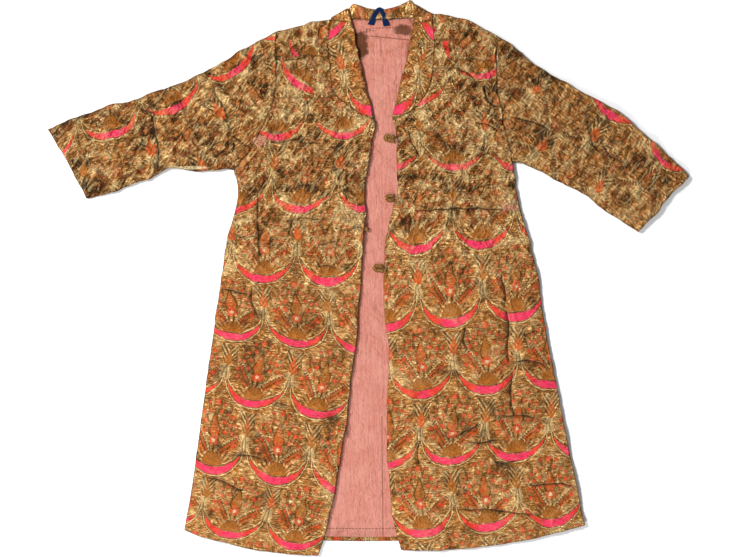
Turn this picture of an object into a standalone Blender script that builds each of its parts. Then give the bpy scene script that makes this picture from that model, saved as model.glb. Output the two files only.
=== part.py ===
"""A long lined robe of gold brocade with a shawl collar, laid out on its back on a flat surface.

X runs across the robe, Y from the hem to the neck and Z up from the surface it lies on.
Left and right are the wearer's, so the right front is on the -X side. All tables are in millimetres.
"""

import math
from collections import namedtuple

import bmesh
import bpy
from mathutils import Matrix, Vector

MM = 0.001


def table(columns, rows):
    """A table whose rows give each value under its column's name."""
    kind = namedtuple("Row", columns)
    return [kind(*row) for row in rows]


# Cloth walls, and the gap that sewn pieces keep between them
SEAM_GAP = 0.4
FOLD_GAP = 2.0
ARMHOLE_GAP = 1.0
BACK_WALL = 2.0
LINING_WALL = 1.0
FRONT_WALL = 2.4
SLEEVE_WALL = 2.0
COLLAR_WALL = 2.4

# Heights of the layers above the surface
REST_GAP = 0.3
LINING_TOP = BACK_WALL + REST_GAP + LINING_WALL
FRONT_TOP = LINING_TOP + REST_GAP + FRONT_WALL
SEWN_TOP = BACK_WALL + REST_GAP + FRONT_WALL
SLEEVE_TOP = 6.2
COLLAR_TOP = 6.2

# How far the cloth takes to come down to a seam, a fold or the surface
SEAM_SLOPE = 22.0
OVERHANG_SLOPE = 26.0
LOFT = 1.4

# The body as it lies, a row for each section from the hem to the shoulders.
BODY_SECTIONS = table(
    "name right_side right_edge left_edge left_side right_bow left_bow",
    [
        ("hem", (-388, -529), (-107, -583), (67, -571), (451, -519), -12, -16),
        ("hem turning", (-376, -466), (-87, -515), (50, -505), (439, -450), -8, -10),
        ("shin", (-363, -380), (-69, -428), (42, -425), (425, -385), -5, -6),
        ("calf", (-352, -292), (-53, -340), (38, -340), (408, -305), -2, -2),
        ("knee", (-340, -210), (-41, -245), (38, -250), (393, -225), 0, 0),
        ("low thigh", (-329, -130), (-30, -155), (43, -165), (378, -148), 0, 0),
        ("thigh", (-317, -52), (-22, -65), (33, -80), (364, -75), 0, 0),
        ("hip", (-306, 30), (-16, 25), (31, 5), (356, 0), 0, 0),
        ("high hip", (-294, 100), (-11, 108), (38, 85), (338, 70), 0, 0),
        ("waist", (-273, 165), (-8, 185), (54, 162), (316, 150), 0, 0),
        ("ribs", (-276, 203), (-1, 243), (60, 222), (306, 200), 0, 0),
        ("armpit", (-284, 226), (7, 290), (58, 285), (300, 243), 0, 0),
        ("collar end", (-255, 260), (12, 331), (50, 331), (290, 292), 0, 0),
        ("low chest", (-232, 298), (-23, 346), (76, 342), (281, 332), 0, 0),
        ("chest", (-213, 340), (-50, 365), (103, 365), (273, 366), 0, 0),
        ("high chest", (-199, 380), (-73, 386), (124, 395), (269, 400), 0, 0),
        ("arm", (-193, 425), (-82, 425), (134, 433), (268, 437), 0, 0),
        ("high arm", (-193, 472), (-83, 480), (139, 485), (268, 475), 0, 2),
        ("shoulder", (-193, 517), (-80, 544), (134, 553), (267, 508), 1, 12),
    ],
)
HIGH_HIP, ARMPIT, COLLAR_END, SHOULDER = (
    next(i for i, row in enumerate(BODY_SECTIONS) if row.name == name)
    for name in ("high hip", "armpit", "collar end", "shoulder")
)
FRONT_COLUMNS = 18

# The back's upper edge from the right shoulder over the neckline to the left shoulder.
BACK_TOP = [
    (-193, 517), (-155, 527), (-117, 536), (-80, 544),
    (-52, 543.5), (-22, 543), (4, 542.5), (27, 542), (50, 542.5), (78, 545), (106, 549), (134, 553),
    (178, 548), (222, 532), (267, 508),
]
NECK_FROM, NECK_TO = 3, 11
BACK_HEM_BOW = -28
BACK_HEM_FADE = 2
BACK_TOP_FADE = 4.0

# The lining stops short of the back's own edges by this much.
LINING_HEM_INSET = 9.0
LINING_SIDE_INSET = 26.0
LINING_SHOULDER_INSET = 28.0
LINING_NECK_INSET = 0.8

# The collar's free edge on each front, a row for each section from its end to the shoulder fold.
COLLAR_FREE = table(
    "right left",
    [
        ((8, 345), (50, 346)),
        ((1, 368), (56, 368)),
        ((-4, 395), (61, 388)),
        ((-12, 430), (68, 418)),
        ((-22, 470), (77, 458)),
        ((-33, 518), (86, 505)),
        ((-44, 565), (94, 575)),
    ],
)
# The free edge of the stand behind the neck, one point for each neckline point of the back.
STAND_FREE = [
    (-44, 565), (-31, 577), (-10, 571), (13, 567), (30, 566), (44, 567), (65, 573), (88, 583), (94, 575),
]
COLLAR_COLUMNS = 5
FOLD_STEPS = 4

# The sleeves from the armhole to the cuff: the upper edge and the lower edge of each section.
RIGHT_SLEEVE = table(
    "upper lower",
    [
        ((-233, 498), (-309, 227)),
        ((-265, 479), (-340, 225)),
        ((-296, 458), (-374, 226)),
        ((-336, 437), (-405, 231)),
        ((-382, 416), (-433, 222)),
        ((-428, 395), (-462, 207)),
        ((-475, 380), (-491, 197)),
        ((-523, 367), (-519, 188)),
        ((-571, 353), (-548, 178)),
        ((-620, 337), (-571, 172)),
        ((-672, 315), (-592, 167)),
    ],
)
LEFT_SLEEVE = table(
    "upper lower",
    [
        ((286, 498), (315, 241)),
        ((313, 479), (338, 231)),
        ((337, 456), (361, 222)),
        ((367, 435), (386, 209)),
        ((403, 416), (414, 194)),
        ((441, 394), (443, 178)),
        ((484, 371), (469, 162)),
        ((521, 348), (492, 145)),
        ((558, 320), (514, 127)),
        ((597, 286), (536, 112)),
        ((636, 252), (551, 103)),
        ((672, 212), (564, 96)),
    ],
)
SLEEVE_TOP_STEPS = 14
SLEEVE_UNDER_STEPS = 10
SLEEVE_TURN_STEPS = 3
ARMHOLE_FADE = 4

# The largest soft folds of the upper layer, a trough where the height is below 0. A fold has faded out at
# this many half widths from its line.
FOLD_REACH = 3
FOLDS = table(
    "start end half_width height",
    [
        # right front
        ((-240, 188), (-243, 20), 17, 4.0),
        ((-222, 196), (-224, 24), 12, -3.4),
        ((-203, 186), (-200, 40), 16, 3.4),
        ((-20, 104), (-104, 112), 15, 3.6),
        ((-128, 118), (-176, 112), 15, -2.2),
        ((-40, 132), (-120, 146), 14, 2.2),
        ((-192, 372), (-240, 236), 17, 4.4),
        ((-210, 384), (-262, 258), 13, -2.4),
        ((-110, 470), (-150, 400), 18, 2.8),
        ((-150, 300), (-130, 190), 24, 2.4),
        ((-70, 300), (-60, 160), 26, 2.0),
        ((-280, 60), (-300, -150), 20, 3.0),
        ((-160, 60), (-168, -210), 26, 2.6),
        ((-92, 0), (-110, -300), 28, 2.4),
        ((-250, -100), (-262, -380), 24, 2.8),
        ((-318, -180), (-340, -400), 18, 2.6),
        ((-180, -240), (-196, -470), 26, 2.4),
        ((-118, -380), (-134, -560), 24, 2.8),
        ((-300, -356), (-214, -366), 15, 2.6),
        ((-352, -420), (-248, -440), 16, 2.8),
        ((-300, -470), (-312, -545), 22, 2.2),
        # left front
        ((94, 326), (96, 236), 15, -2.4),
        ((116, 330), (118, 210), 18, 3.6),
        ((170, 436), (262, 300), 20, 4.0),
        ((160, 400), (232, 316), 14, -2.2),
        ((70, 182), (72, 96), 14, 3.2),
        ((90, 186), (90, 84), 12, -2.0),
        ((96, 150), (312, 150), 15, 3.4),
        ((110, 122), (318, 124), 13, -1.6),
        ((186, 92), (188, -86), 17, 4.2),
        ((206, 80), (208, -112), 12, -3.4),
        ((226, 66), (228, -100), 17, 3.8),
        ((270, 30), (276, -290), 18, 4.6),
        ((290, -20), (298, -300), 12, -3.6),
        ((312, -40), (326, -240), 18, 3.2),
        ((100, -60), (96, -330), 28, 2.6),
        ((180, -316), (290, -286), 16, 3.2),
        ((206, -352), (300, -340), 14, 2.4),
        ((330, -410), (430, -396), 16, 3.0),
        ((330, -440), (438, -428), 12, -2.2),
        ((150, -476), (360, -470), 16, 3.2),
        ((160, -504), (372, -496), 12, -2.0),
        ((110, -380), (120, -550), 24, 2.4),
        # right sleeve
        ((-470, 356), (-452, 226), 15, -2.4),
        ((-496, 350), (-478, 214), 17, 4.2),
        ((-430, 370), (-424, 250), 18, 4.4),
        ((-392, 352), (-410, 250), 13, -2.4),
        ((-352, 400), (-380, 260), 19, 4.2),
        ((-290, 430), (-320, 270), 20, 3.6),
        ((-540, 320), (-556, 220), 20, 3.0),
        ((-600, 310), (-590, 214), 20, 2.4),
        # left sleeve
        ((300, 352), (392, 310), 15, 3.8),
        ((296, 326), (376, 284), 12, -2.0),
        ((330, 430), (420, 250), 20, 3.4),
        ((420, 370), (470, 240), 18, 3.8),
        ((476, 284), (530, 232), 15, 3.4),
        ((540, 300), (500, 180), 18, 3.2),
        ((590, 250), (560, 160), 20, 2.6),
        ((384, 250), (470, 190), 16, 2.8),
    ],
)

# The cloth loops on the left front's edge: how far up they lie, and their reach across the opening.
BUTTON_LOOPS = table(
    "name up reach turn",
    [("button_loop_1", 291, 28, 6), ("button_loop_2", 169, 23, -3), ("button_loop_3", 20, 25, 2)],
)
LOOP_STRAND_HALF_WIDTH = 4.2
LOOP_STRAND_HALF_HEIGHT = 2.6
LOOP_SLIT = 0.8
LOOP_ROOT_GAP = 1.6
LOOP_BEND_STEPS = 6
LOOP_SIDES = 10
LOOP_RINGS_PER_LEG = 3

# The ball knot on the right front's edge
KNOT_UP = 103
KNOT_RADIUS = 5.4

# The hanging ribbon behind the neck: its centre line as (x, y, z).
RIBBON_LINE = [
    (4, 531, 4.7), (7, 541, 5.4), (11.5, 551, 5.9), (16.5, 559.5, 5.5), (22, 564, 4.7),
    (27, 560, 5.3), (30.5, 551, 5.9), (34, 541, 5.4), (37, 529, 4.7),
]
RIBBON_HALF_WIDTH = 4.6
RIBBON_HALF_THICKNESS = 0.7
RIBBON_SIDES = 8
RIBBON_RINGS = 26

# Base colour, roughness and metallic value
BROCADE = ((0.42, 0.27, 0.10), 0.45, 0.35)
LINING = ((0.80, 0.42, 0.37), 0.8, 0.0)
RIBBON = ((0.02, 0.06, 0.25), 0.5, 0.0)
ROLLED_CLOTH = ((0.24, 0.15, 0.06), 0.6, 0.1)


def column(name):
    """One column of the body's table."""
    return [getattr(row, name) for row in BODY_SECTIONS]


def smooth(value):
    """0 at or below 0, 1 at or above 1, and an even slope between."""
    value = min(max(value, 0.0), 1.0)
    return value * value * (3 - 2 * value)


def along(points, place):
    """The point at this place of a smooth line through points, counted in points from its start."""
    last = len(points) - 1
    index = min(int(place), last - 1)
    share = place - index
    before, start, end, after = (Vector(points[min(max(index + k, 0), last)]) for k in (-1, 0, 1, 2))
    return 0.5 * (
        2 * start
        + (end - before) * share
        + (2 * before - 5 * start + 4 * end - after) * share**2
        + (3 * start - before - 3 * end + after) * share**3
    )


def along_numbers(numbers, place):
    """The same for a column of plain numbers."""
    return along([(number, 0) for number in numbers], place).x


def on_polyline(points, share):
    """The point at this share of a line's points, straight between them."""
    place = share * (len(points) - 1)
    index = min(int(place), len(points) - 2)
    return points[index].lerp(points[index + 1], place - index)


def places(stretches):
    """Places in the body's table, each stretch given as its first section, its last and the steps between."""
    found = []
    for first, last, steps in stretches:
        found += [first + k / steps for k in range((last - first) * steps)]
    return found + [stretches[-1][1]]


FRONT_PLACES = places([(0, HIGH_HIP, 3), (HIGH_HIP, ARMPIT, 2), (ARMPIT, SHOULDER, 2)])
BACK_PLACES = places([(0, ARMPIT, 1), (ARMPIT, SHOULDER, 2)])
ARMHOLE_PLACES = [p for p in FRONT_PLACES if p >= ARMPIT]
COLLAR_PLACES = [p for p in FRONT_PLACES if p >= COLLAR_END]


def to_segment(point, start, end):
    """The distance from a point to a straight line between two others."""
    reach = end - start
    share = min(max((point - start).dot(reach) / reach.length_squared, 0.0), 1.0)
    return (point - start - reach * share).length


def lift(point):
    """How far the folds raise the upper layer of cloth here."""
    raised = LOFT
    for fold in FOLDS:
        away = to_segment(point, Vector(fold.start), Vector(fold.end)) / fold.half_width
        if away < FOLD_REACH:
            raised += fold.height * math.exp(-away * away)
    return max(raised, 0.0)


def back_point(share, place):
    """A point of the back in plan. share runs from the right side to the left, place up the sections."""
    right = along(column("right_side"), place)
    left = along(column("left_side"), place)
    point = right.lerp(left, share)
    hem = smooth(1 - place / BACK_HEM_FADE)
    point.y += BACK_HEM_BOW * 4 * share * (1 - share) * hem
    return point


def back_shares():
    """Where the back's columns stand, as shares of its upper edge."""
    first, last = BACK_TOP[0][0], BACK_TOP[-1][0]
    return [(x - first) / (last - first) for x, _ in BACK_TOP]


def back_grid_point(index, place):
    """A point of the back's grid, whose topmost row follows the shoulders and the neckline."""
    share = back_shares()[index]
    rise = Vector(BACK_TOP[index]) - back_point(share, SHOULDER)
    return back_point(share, place) + rise * smooth((place - SHOULDER + BACK_TOP_FADE) / BACK_TOP_FADE)


def back_hem_at(x):
    """How far up the back's hem lies at this x."""
    right, left = column("right_side")[0], column("left_side")[0]
    return back_point((x - right[0]) / (left[0] - right[0]), 0).y


def front_point(side, share, place):
    """A point of a front in plan. share runs from the side seam to the front edge."""
    outer = along(column(f"{side}_side"), place)
    inner = along(column(f"{side}_edge"), place)
    point = outer.lerp(inner, share)
    point.y += along_numbers(column(f"{side}_bow"), place) * 4 * share * (1 - share)
    return point


def front_height(side, point, place):
    """How high a front's upper face stands: down at its side seam and shoulder, raised by folds between."""
    outer = along(column(f"{side}_side"), place)
    shoulder = front_point(side, 0.5, SHOULDER)
    down_side = smooth((point - outer).length / SEAM_SLOPE)
    down_side = max(down_side, smooth(place - ARMPIT + 1))
    down_shoulder = smooth((shoulder.y - point.y) / SEAM_SLOPE)
    if place == SHOULDER:
        down_shoulder = 0.0
    sewn = min(down_side, down_shoulder)
    overhang = smooth((back_hem_at(point.x) - point.y - 2) / OVERHANG_SLOPE)
    rest = FRONT_TOP + (SEWN_TOP - FRONT_TOP) * (1 - sewn)
    rest += (FRONT_WALL - rest) * overhang
    return rest + lift(point) * sewn * (1 - 0.6 * overhang)


def material(name, finish):
    colour, roughness, metallic = finish
    made = bpy.data.materials.new(name)
    made.use_nodes = True
    shader = made.node_tree.nodes["Principled BSDF"]
    shader.inputs["Base Color"].default_value = (*colour, 1)
    shader.inputs["Roughness"].default_value = roughness
    shader.inputs["Metallic"].default_value = metallic
    return made


def finish_object(name, shape, finish):
    """Makes the named object from a bmesh in millimetres, smooth but for its sharp rims."""
    bmesh.ops.scale(shape, vec=(MM, MM, MM), verts=shape.verts)
    mesh = bpy.data.meshes.new(name)
    shape.to_mesh(mesh)
    shape.free()
    mesh.shade_smooth()
    mesh.set_sharp_from_angle(angle=math.radians(50))
    mesh.materials.append(material(name, finish))
    made = bpy.data.objects.new(name, mesh)
    bpy.context.scene.collection.objects.link(made)
    return made


def grid(columns, rows, point):
    """A sheet of columns by rows faces, each corner where point(column, row) says."""
    shape = bmesh.new()
    bmesh.ops.create_grid(shape, x_segments=columns, y_segments=rows, size=0.5)
    for vertex in shape.verts:
        at_column = round((vertex.co.x + 0.5) * columns)
        at_row = round((vertex.co.y + 0.5) * rows)
        vertex.co = point(at_column, at_row)
    return shape


def make_panel(name, columns, rows, point, wall, finish):
    """A panel of cloth: the sheet of its upper face, carried straight down through its wall."""
    shape = grid(columns, rows, point)
    made = bmesh.ops.extrude_face_region(shape, geom=shape.faces[:], use_keep_orig=True)
    under = [part for part in made["geom"] if isinstance(part, bmesh.types.BMVert)]
    bmesh.ops.translate(shape, vec=(0, 0, -wall), verts=under)
    bmesh.ops.recalc_face_normals(shape, faces=shape.faces[:])
    return finish_object(name, shape, finish)


def thicken(made, wall):
    """Gives an open sheet its wall, inwards from its outer face."""
    solidify = made.modifiers.new("wall", "SOLIDIFY")
    solidify.thickness = wall * MM
    solidify.offset = -1
    solidify.use_even_offset = True
    return made


def make_back():
    def point(index, row):
        return (*back_grid_point(index, BACK_PLACES[row]), BACK_WALL)

    return make_panel("back_panel", len(BACK_TOP) - 1, len(BACK_PLACES) - 1, point, BACK_WALL, BROCADE)


def make_lining():
    """The lining on the inside of the back, whole under the fronts."""
    rows = places([(0, SHOULDER, 1)])
    last = len(BACK_TOP) - 1

    def point(index, row):
        flat = back_grid_point(index, rows[row])
        if index == 0:
            flat.x += LINING_SIDE_INSET
        if index == last:
            flat.x -= LINING_SIDE_INSET
        if row == 0:
            flat.y += LINING_HEM_INSET
        if row == len(rows) - 1:
            flat.y -= LINING_NECK_INSET if NECK_FROM < index < NECK_TO else LINING_SHOULDER_INSET
        return (*flat, LINING_TOP)

    return make_panel("back_lining", last, len(rows) - 1, point, LINING_WALL, LINING)


def make_front(side):
    def point(index, row):
        place = FRONT_PLACES[row]
        flat = front_point(side, index / FRONT_COLUMNS, place)
        return (*flat, front_height(side, flat, place))

    return make_panel(f"front_{side}", FRONT_COLUMNS, len(FRONT_PLACES) - 1, point, FRONT_WALL, BROCADE)


def armhole(side):
    """The armhole seam from the shoulder down to the armpit, at the front panel's own points."""
    return [along(column(f"{side}_side"), place) for place in reversed(ARMHOLE_PLACES)]


def sleeve_point(side, sections, share, station):
    """A point of a flat sleeve in plan. share runs from the upper edge down, station from the armhole."""
    seam = armhole(side)
    uppers = [seam[0]] + [Vector(row.upper) for row in sections]
    lowers = [seam[-1]] + [Vector(row.lower) for row in sections]
    point = along(uppers, station).lerp(along(lowers, station), share)
    curve = on_polyline(seam, share) - seam[0].lerp(seam[-1], share)
    return point + curve * (1 - smooth(station / ARMHOLE_FADE))


def sleeve_ring(width, round_off):
    """One turn round a flat sleeve: each point's distance from the upper edge, and its height as a share."""
    turn = [math.pi / 2 * k / SLEEVE_TURN_STEPS for k in range(SLEEVE_TURN_STEPS + 1)]
    flat = width - 2 * round_off
    top_span = [round_off + flat * k / SLEEVE_TOP_STEPS for k in range(1, SLEEVE_TOP_STEPS)]
    under_span = [width - round_off - flat * k / SLEEVE_UNDER_STEPS for k in range(1, SLEEVE_UNDER_STEPS)]
    ring = [(round_off * (1 - math.sin(a)), 0.5 + 0.5 * math.cos(a)) for a in reversed(turn)][:-1]
    ring += [(round_off, 1.0)] + [(distance, 1.0) for distance in top_span]
    ring += [(width - round_off * (1 - math.sin(a)), 0.5 + 0.5 * math.cos(a)) for a in turn]
    ring += [(width - round_off * (1 - math.sin(a)), 0.5 - 0.5 * math.cos(a)) for a in reversed(turn)][1:]
    ring += [(distance, 0.0) for distance in under_span]
    ring += [(round_off * (1 - math.sin(a)), 0.5 - 0.5 * math.cos(a)) for a in turn]
    return ring


def make_sleeve(side, sections):
    """A flat tube of cloth from the armhole to the cuff, open at both ends and flat underneath."""
    round_off = SLEEVE_TOP / 2
    stations = list(range(len(sections) + 1))
    stations = sorted(stations + [0.5, 1.5, 2.5, 4.5])
    ring_count = len(sleeve_ring(100, round_off)) - 1

    def point(index, row):
        station = stations[index]
        width = (sleeve_point(side, sections, 1, station) - sleeve_point(side, sections, 0, station)).length
        distance, level = sleeve_ring(width, round_off)[row]
        flat = sleeve_point(side, sections, distance / width, station)
        if index == 0:
            onward = sleeve_point(side, sections, distance / width, 1) - flat
            flat += onward.normalized() * ARMHOLE_GAP
        from_edge = min(distance, width - distance)
        height = level * SLEEVE_TOP
        if level > 0.5:
            height += lift(flat) * smooth((from_edge - round_off) / SEAM_SLOPE)
        return (*flat, height)

    shape = grid(len(stations) - 1, ring_count, point)
    bmesh.ops.remove_doubles(shape, verts=shape.verts, dist=0.01)
    bmesh.ops.recalc_face_normals(shape, faces=shape.faces[:])
    return thicken(finish_object(f"sleeve_{side}", shape, BROCADE), SLEEVE_WALL)


def collar_stations():
    """The collar's outer face as pairs of (free edge, sewn edge), from its right end round to its left end."""

    def wing(side, free):
        edge = column(f"{side}_edge")
        found = []
        for place in COLLAR_PLACES:
            sewn = along(edge, place)
            loose = along(free, place - COLLAR_END)
            sewn += (loose - sewn).normalized() * SEAM_GAP
            found.append([(*loose, COLLAR_TOP + lift(loose)), (*sewn, COLLAR_TOP + lift(sewn))])
        return found

    def fold(free, sewn, outward):
        """The turn over the shoulder, a half circle from the upper layer to the surface."""
        radius = COLLAR_TOP / 2
        found = []
        for step in range(1, FOLD_STEPS):
            angle = math.pi * step / FOLD_STEPS
            shift = outward * radius * math.sin(angle)
            level = radius * (1 + math.cos(angle))
            found.append([(*(free + shift), level), (*(sewn + shift), level)])
        return found

    right = wing("right", [row.right for row in COLLAR_FREE])
    left = wing("left", [row.left for row in COLLAR_FREE])
    stand = []
    for free, sewn in zip(STAND_FREE, BACK_TOP[NECK_FROM : NECK_TO + 1]):
        free, sewn = Vector(free), Vector(sewn)
        sewn += (free - sewn).normalized() * SEAM_GAP
        stand.append([(*free, 0), (*sewn, 0)])
    corners = []
    for pair in (stand[0], stand[-1]):
        free, sewn = Vector(pair[0][:2]), Vector(pair[1][:2])
        across = free - sewn
        sewn += across.normalized() * FOLD_GAP
        outward = Vector((-across.y, across.x)).normalized()
        corners.append((free, sewn, outward if outward.y > 0 else -outward))
    for row, (free, sewn, _) in ((right, corners[0]), (left, corners[1])):
        row[-1] = [(*free, COLLAR_TOP), (*sewn, COLLAR_TOP)]
    stand[0][1] = (*corners[0][1], 0)
    stand[-1][1] = (*corners[1][1], 0)
    return right + fold(*corners[0]) + stand + fold(*corners[1])[::-1] + left[::-1]


def make_collar():
    """The shawl collar with its stand, one band of cloth that folds over both shoulders."""
    stations = collar_stations()

    def point(index, row):
        free, sewn = (Vector(edge) for edge in stations[row])
        return free.lerp(sewn, index / COLLAR_COLUMNS)

    shape = grid(COLLAR_COLUMNS, len(stations) - 1, point)
    shape.normal_update()
    if sum(face.normal.z for face in shape.faces) < 0:
        bmesh.ops.reverse_faces(shape, faces=shape.faces[:])
    return thicken(finish_object("collar", shape, BROCADE), COLLAR_WALL)


def make_strand(name, line, half_width, half_height, sides, finish):
    """A flattened round strand that follows a line lying near level, with closed ends."""
    shape = bmesh.new()
    rings = []
    for index, middle in enumerate(line):
        before, after = line[max(index - 1, 0)], line[min(index + 1, len(line) - 1)]
        ahead = (after - before).normalized()
        aside = ahead.cross(Vector((0, 0, 1))).normalized()
        above = aside.cross(ahead)
        placing = Matrix((aside * half_width, above * half_height, ahead)).transposed().to_4x4()
        placing.translation = middle
        ring = bmesh.ops.create_circle(shape, segments=sides, radius=1, matrix=placing)["verts"]
        rings.append(list({edge for vertex in ring for edge in vertex.link_edges}))
    for first, second in zip(rings, rings[1:]):
        bmesh.ops.bridge_loops(shape, edges=first + second)
    bmesh.ops.holes_fill(shape, edges=shape.edges[:], sides=sides)
    bmesh.ops.recalc_face_normals(shape, faces=shape.faces[:])
    return finish_object(name, shape, finish)


def edge_x(side, up):
    """Where a front's edge lies at this height up the robe."""
    edge = column(f"{side}_edge")
    low, high = 0.0, float(COLLAR_END)
    for _ in range(30):
        middle = (low + high) / 2
        if along(edge, middle).y < up:
            low = middle
        else:
            high = middle
    return along(edge, low).x


def make_button_loop(name, up, reach, turn):
    """A rolled strip of cloth bent back on itself, its legs side by side, sewn to the left front's edge."""
    apart = LOOP_STRAND_HALF_WIDTH + LOOP_SLIT / 2
    level = LINING_TOP + REST_GAP + LOOP_STRAND_HALF_HEIGHT
    bend_x = edge_x("left", up) - reach + apart + LOOP_STRAND_HALF_WIDTH
    centre = Vector((bend_x, up + turn / 2, level))
    bend = []
    for step in range(LOOP_BEND_STEPS + 1):
        angle = math.pi / 2 + math.pi * step / LOOP_BEND_STEPS
        bend.append(centre + apart * Vector((math.cos(angle), math.sin(angle), 0)))
    reach_up = 2 * LOOP_STRAND_HALF_WIDTH
    root_x = min(edge_x("left", up + away) for away in (-reach_up, 0, reach_up)) - LOOP_ROOT_GAP
    upper_root = Vector((root_x, up + apart, level))
    lower_root = Vector((root_x, up - apart, level))
    upper_leg = [upper_root.lerp(bend[0], k / LOOP_RINGS_PER_LEG) for k in range(LOOP_RINGS_PER_LEG)]
    lower_leg = [bend[-1].lerp(lower_root, k / LOOP_RINGS_PER_LEG) for k in range(1, LOOP_RINGS_PER_LEG + 1)]
    line = upper_leg + bend + lower_leg
    return make_strand(name, line, LOOP_STRAND_HALF_WIDTH, LOOP_STRAND_HALF_HEIGHT, LOOP_SIDES, ROLLED_CLOTH)


def make_button_knot():
    """The one ball knot that is left on the right front's edge."""
    shape = bmesh.new()
    bmesh.ops.create_uvsphere(shape, u_segments=14, v_segments=8, radius=KNOT_RADIUS)
    x = edge_x("right", KNOT_UP) + 2 * SEAM_GAP + KNOT_RADIUS
    place = (x, KNOT_UP, LINING_TOP + REST_GAP + KNOT_RADIUS)
    bmesh.ops.translate(shape, vec=place, verts=shape.verts)
    return finish_object("button_knot", shape, ROLLED_CLOTH)


def make_hanging_loop():
    """The ribbon loop that the robe hangs from, lying over the stand."""
    last = len(RIBBON_LINE) - 1
    line = [along(RIBBON_LINE, last * k / RIBBON_RINGS) for k in range(RIBBON_RINGS + 1)]
    return make_strand("hanging_loop", line, RIBBON_HALF_WIDTH, RIBBON_HALF_THICKNESS, RIBBON_SIDES, RIBBON)


def main():
    for old in list(bpy.data.objects):
        bpy.data.objects.remove(old)
    make_back()
    make_lining()
    make_front("right")
    make_front("left")
    make_sleeve("right", RIGHT_SLEEVE)
    make_sleeve("left", LEFT_SLEEVE)
    make_collar()
    make_hanging_loop()
    for loop in BUTTON_LOOPS:
        make_button_loop(loop.name, loop.up, loop.reach, loop.turn)
    make_button_knot()


main()
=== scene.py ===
"""A long robe of gold brocade with a pink silk lining, laid out flat with its front open.

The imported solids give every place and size. Each piece of cloth here starts as a copy of its solid, gets a
fine surface with its creases and crumples, and carries a map of where its woven pattern lies.
X runs across the robe, Y from the hem to the neck and Z up. Tables of places on the robe are in millimetres.
"""

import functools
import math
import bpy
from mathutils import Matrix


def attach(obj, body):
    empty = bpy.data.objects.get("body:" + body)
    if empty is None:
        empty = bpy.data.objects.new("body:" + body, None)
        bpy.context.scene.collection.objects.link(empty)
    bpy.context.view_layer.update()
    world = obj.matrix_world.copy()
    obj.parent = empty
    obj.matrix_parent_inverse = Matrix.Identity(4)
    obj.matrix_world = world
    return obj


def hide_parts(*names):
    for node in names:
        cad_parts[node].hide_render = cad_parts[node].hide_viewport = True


bl_info = {
    "name": "Brocade Robe",
    "version": (1, 0, 0),
    "blender": (4, 5, 0),
    "location": "3D Viewport > Sidebar > Robe",
    "description": "Dresses the packed solids of a long brocade robe that lies flat",
    "category": "Object",
}

from collections import namedtuple

import bmesh
import bpy
import numpy as np
from mathutils import Vector, kdtree, noise

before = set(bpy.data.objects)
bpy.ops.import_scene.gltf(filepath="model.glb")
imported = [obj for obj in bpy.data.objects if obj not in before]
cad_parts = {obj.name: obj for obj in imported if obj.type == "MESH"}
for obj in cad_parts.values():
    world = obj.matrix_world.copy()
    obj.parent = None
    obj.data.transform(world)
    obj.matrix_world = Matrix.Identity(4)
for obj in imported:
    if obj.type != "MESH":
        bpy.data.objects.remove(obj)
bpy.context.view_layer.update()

MM = 0.001
BODY = "root"
# What a mesh holds at its points: the place in the woven pattern and the share of painted shade that its
# sinking gives, a painted highlight where that share is below 0, then how far aside of a crease the point is,
# how deep the crease is there, and how far off the piece's edge is.
MAP_NAME = "weave_place"
FOLD_NAME = "fold_place"


def table(columns, rows):
    """A table whose rows give each value under its column's name."""
    kind = namedtuple("Row", columns)
    return [kind(*row) for row in rows]


# The woven pattern's own sizes
REPEAT_ACROSS = 136.5
REPEAT_UP = 141.3

# Where the woven pattern lies on each piece: for each woven row from the bottom, a place where a crescent's
# lowest point lies, the angle of the weft there and the number of that crescent's column.
ROW_COLUMNS = "row x y angle column"
PATTERN_ROWS = {
    "front_right": table(
        ROW_COLUMNS,
        [
            (0, -298, -546, -10, 0.0), (1, -197, -433, -9, 0.5), (2, -250, -271, -10, 0.0),
            (3, -151, -147, -7, 0.5), (4, -225, -10, -3, 0.0), (5, -149, 136, 0, 0.5),
            (6, -50, 292, 2, 1.0), (7, -145, 432, 4, 0.5), (8, -200, 574, 4, 0.0),
        ],
    ),
    "front_left": table(
        ROW_COLUMNS,
        [
            (0, 252, -533, 5, 0.0), (1, 170, -393, 4, -0.5), (2, 248, -244, 4, 0.0),
            (3, 174, -103, 5, -0.5), (4, 237, 61, 4, 0.0), (5, 181, 223, 0, -0.5), (6, 236, 366, 2, 0.0),
            (7, 168, 508, 0, -0.5),
        ],
    ),
    "back_panel": table(ROW_COLUMNS, [(0, 0, -480, 0, 0.0)]),
    "collar_right": table(ROW_COLUMNS, [(0, 4, 341, 4, 0.0), (1, -78, 500, 30, -0.5)]),
    "collar_left": table(ROW_COLUMNS, [(0, 53, 343, -4, 0.0), (1, 134, 500, -35, 0.5)]),
}
COLLAR_MIDDLE = 26
# The collar's band at the back of the neck: where it starts, and how its plain cloth lies along the weft
NECK_BAND_UP = 528
NECK_BAND_RISE = 0.12
NECK_BAND_COLUMN = 45
NECK_BAND_STRETCH = 0.25
NECK_BAND_BELOW = -13

# The same along each sleeve, one row of crescents.
SLEEVE_ROWS = {
    "sleeve_right": table(
        "column x y angle", [(0, -666, 237, 5), (1, -538, 296, 6), (2, -401, 351, 24), (3, -271, 430, 34)]
    ),
    "sleeve_left": table("column x y angle", [(0, 378, 432, -38), (1, 498, 336, -33), (2, 610, 237, -40)]),
}
# How far below that row the cloth is pieced, and how far the pattern moves there.
PIECINGS = {
    "sleeve_right": table("below across up", [(84, 0.0, -60), (9, 0.5, 0)]),
    "sleeve_left": table("below across up", [(84, 0.0, -60)]),
}

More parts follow.
